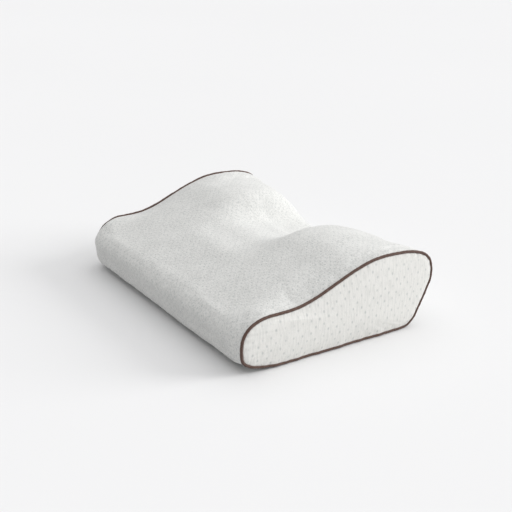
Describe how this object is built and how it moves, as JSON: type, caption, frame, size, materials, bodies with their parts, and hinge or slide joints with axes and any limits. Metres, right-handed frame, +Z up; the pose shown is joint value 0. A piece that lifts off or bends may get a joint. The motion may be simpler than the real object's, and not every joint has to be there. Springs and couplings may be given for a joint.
{
  "type": "bed pillow",
  "caption": "Contour foam bed pillow with a low front lobe, two high wings and a dipped middle, in a knitted cover with piped end seams and a zip at the back.",
  "frame": {"origin": "on the floor, under the middle of the pillow's bounding box", "axes": "+X along the length towards the right end panel, +Y from the low front lobe to the high back lobe, +Z up"},
  "size_m": [0.4494, 0.3039, 0.1173],
  "materials": {
    "wrap_knit": "heathered grey double-knit jersey",
    "panel_knit": "off-white double knit with sparse grey tuck stitches",
    "piping_twill": "brown bias-cut strip",
    "piping_filler": "twisted cotton filler cord",
    "liner_jersey": "thin white jersey",
    "memory_foam": "moulded open-cell viscoelastic foam",
    "zip_tape": "grey woven tape",
    "zip_coil": "nylon coil",
    "zip_metal": "plated zinc alloy",
    "label_satin": "blank white satin"
  },
  "bodies": {
    "pillow": {"foam_core": "memory_foam", "liner_wrap": "liner_jersey", "liner_end_left": "liner_jersey", "liner_end_right": "liner_jersey", "cover_wrap": "wrap_knit", "end_panel_left": "panel_knit", "end_panel_right": "panel_knit", "piping_left": "piping_twill", "piping_right": "piping_twill", "piping_cord_left": "piping_filler", "piping_cord_right": "piping_filler", "zip_tape_upper": "zip_tape", "zip_tape_lower": "zip_tape", "zip_coil_upper": "zip_coil", "zip_coil_lower": "zip_coil", "zip_top_stop_upper": "zip_metal", "zip_top_stop_lower": "zip_metal", "zip_bottom_stop": "zip_metal", "care_label": "label_satin"},
    "slider": {"zip_slider": "zip_metal"},
    "pull": {"zip_pull": "zip_metal"}
  },
  "joints": [
    {"name": "zip_slide", "type": "slide", "parent": "pillow", "child": "slider", "axis": [1, 0, 0], "range_m": [0, 0.344]},
    {"name": "zip_pull_hinge", "type": "hinge", "parent": "slider", "child": "pull", "pos_m": [-0.1719, 0.14104, 0.03719], "axis": [0, 0.4686, 0.8834], "range_deg": [0, 175]}
  ]
}
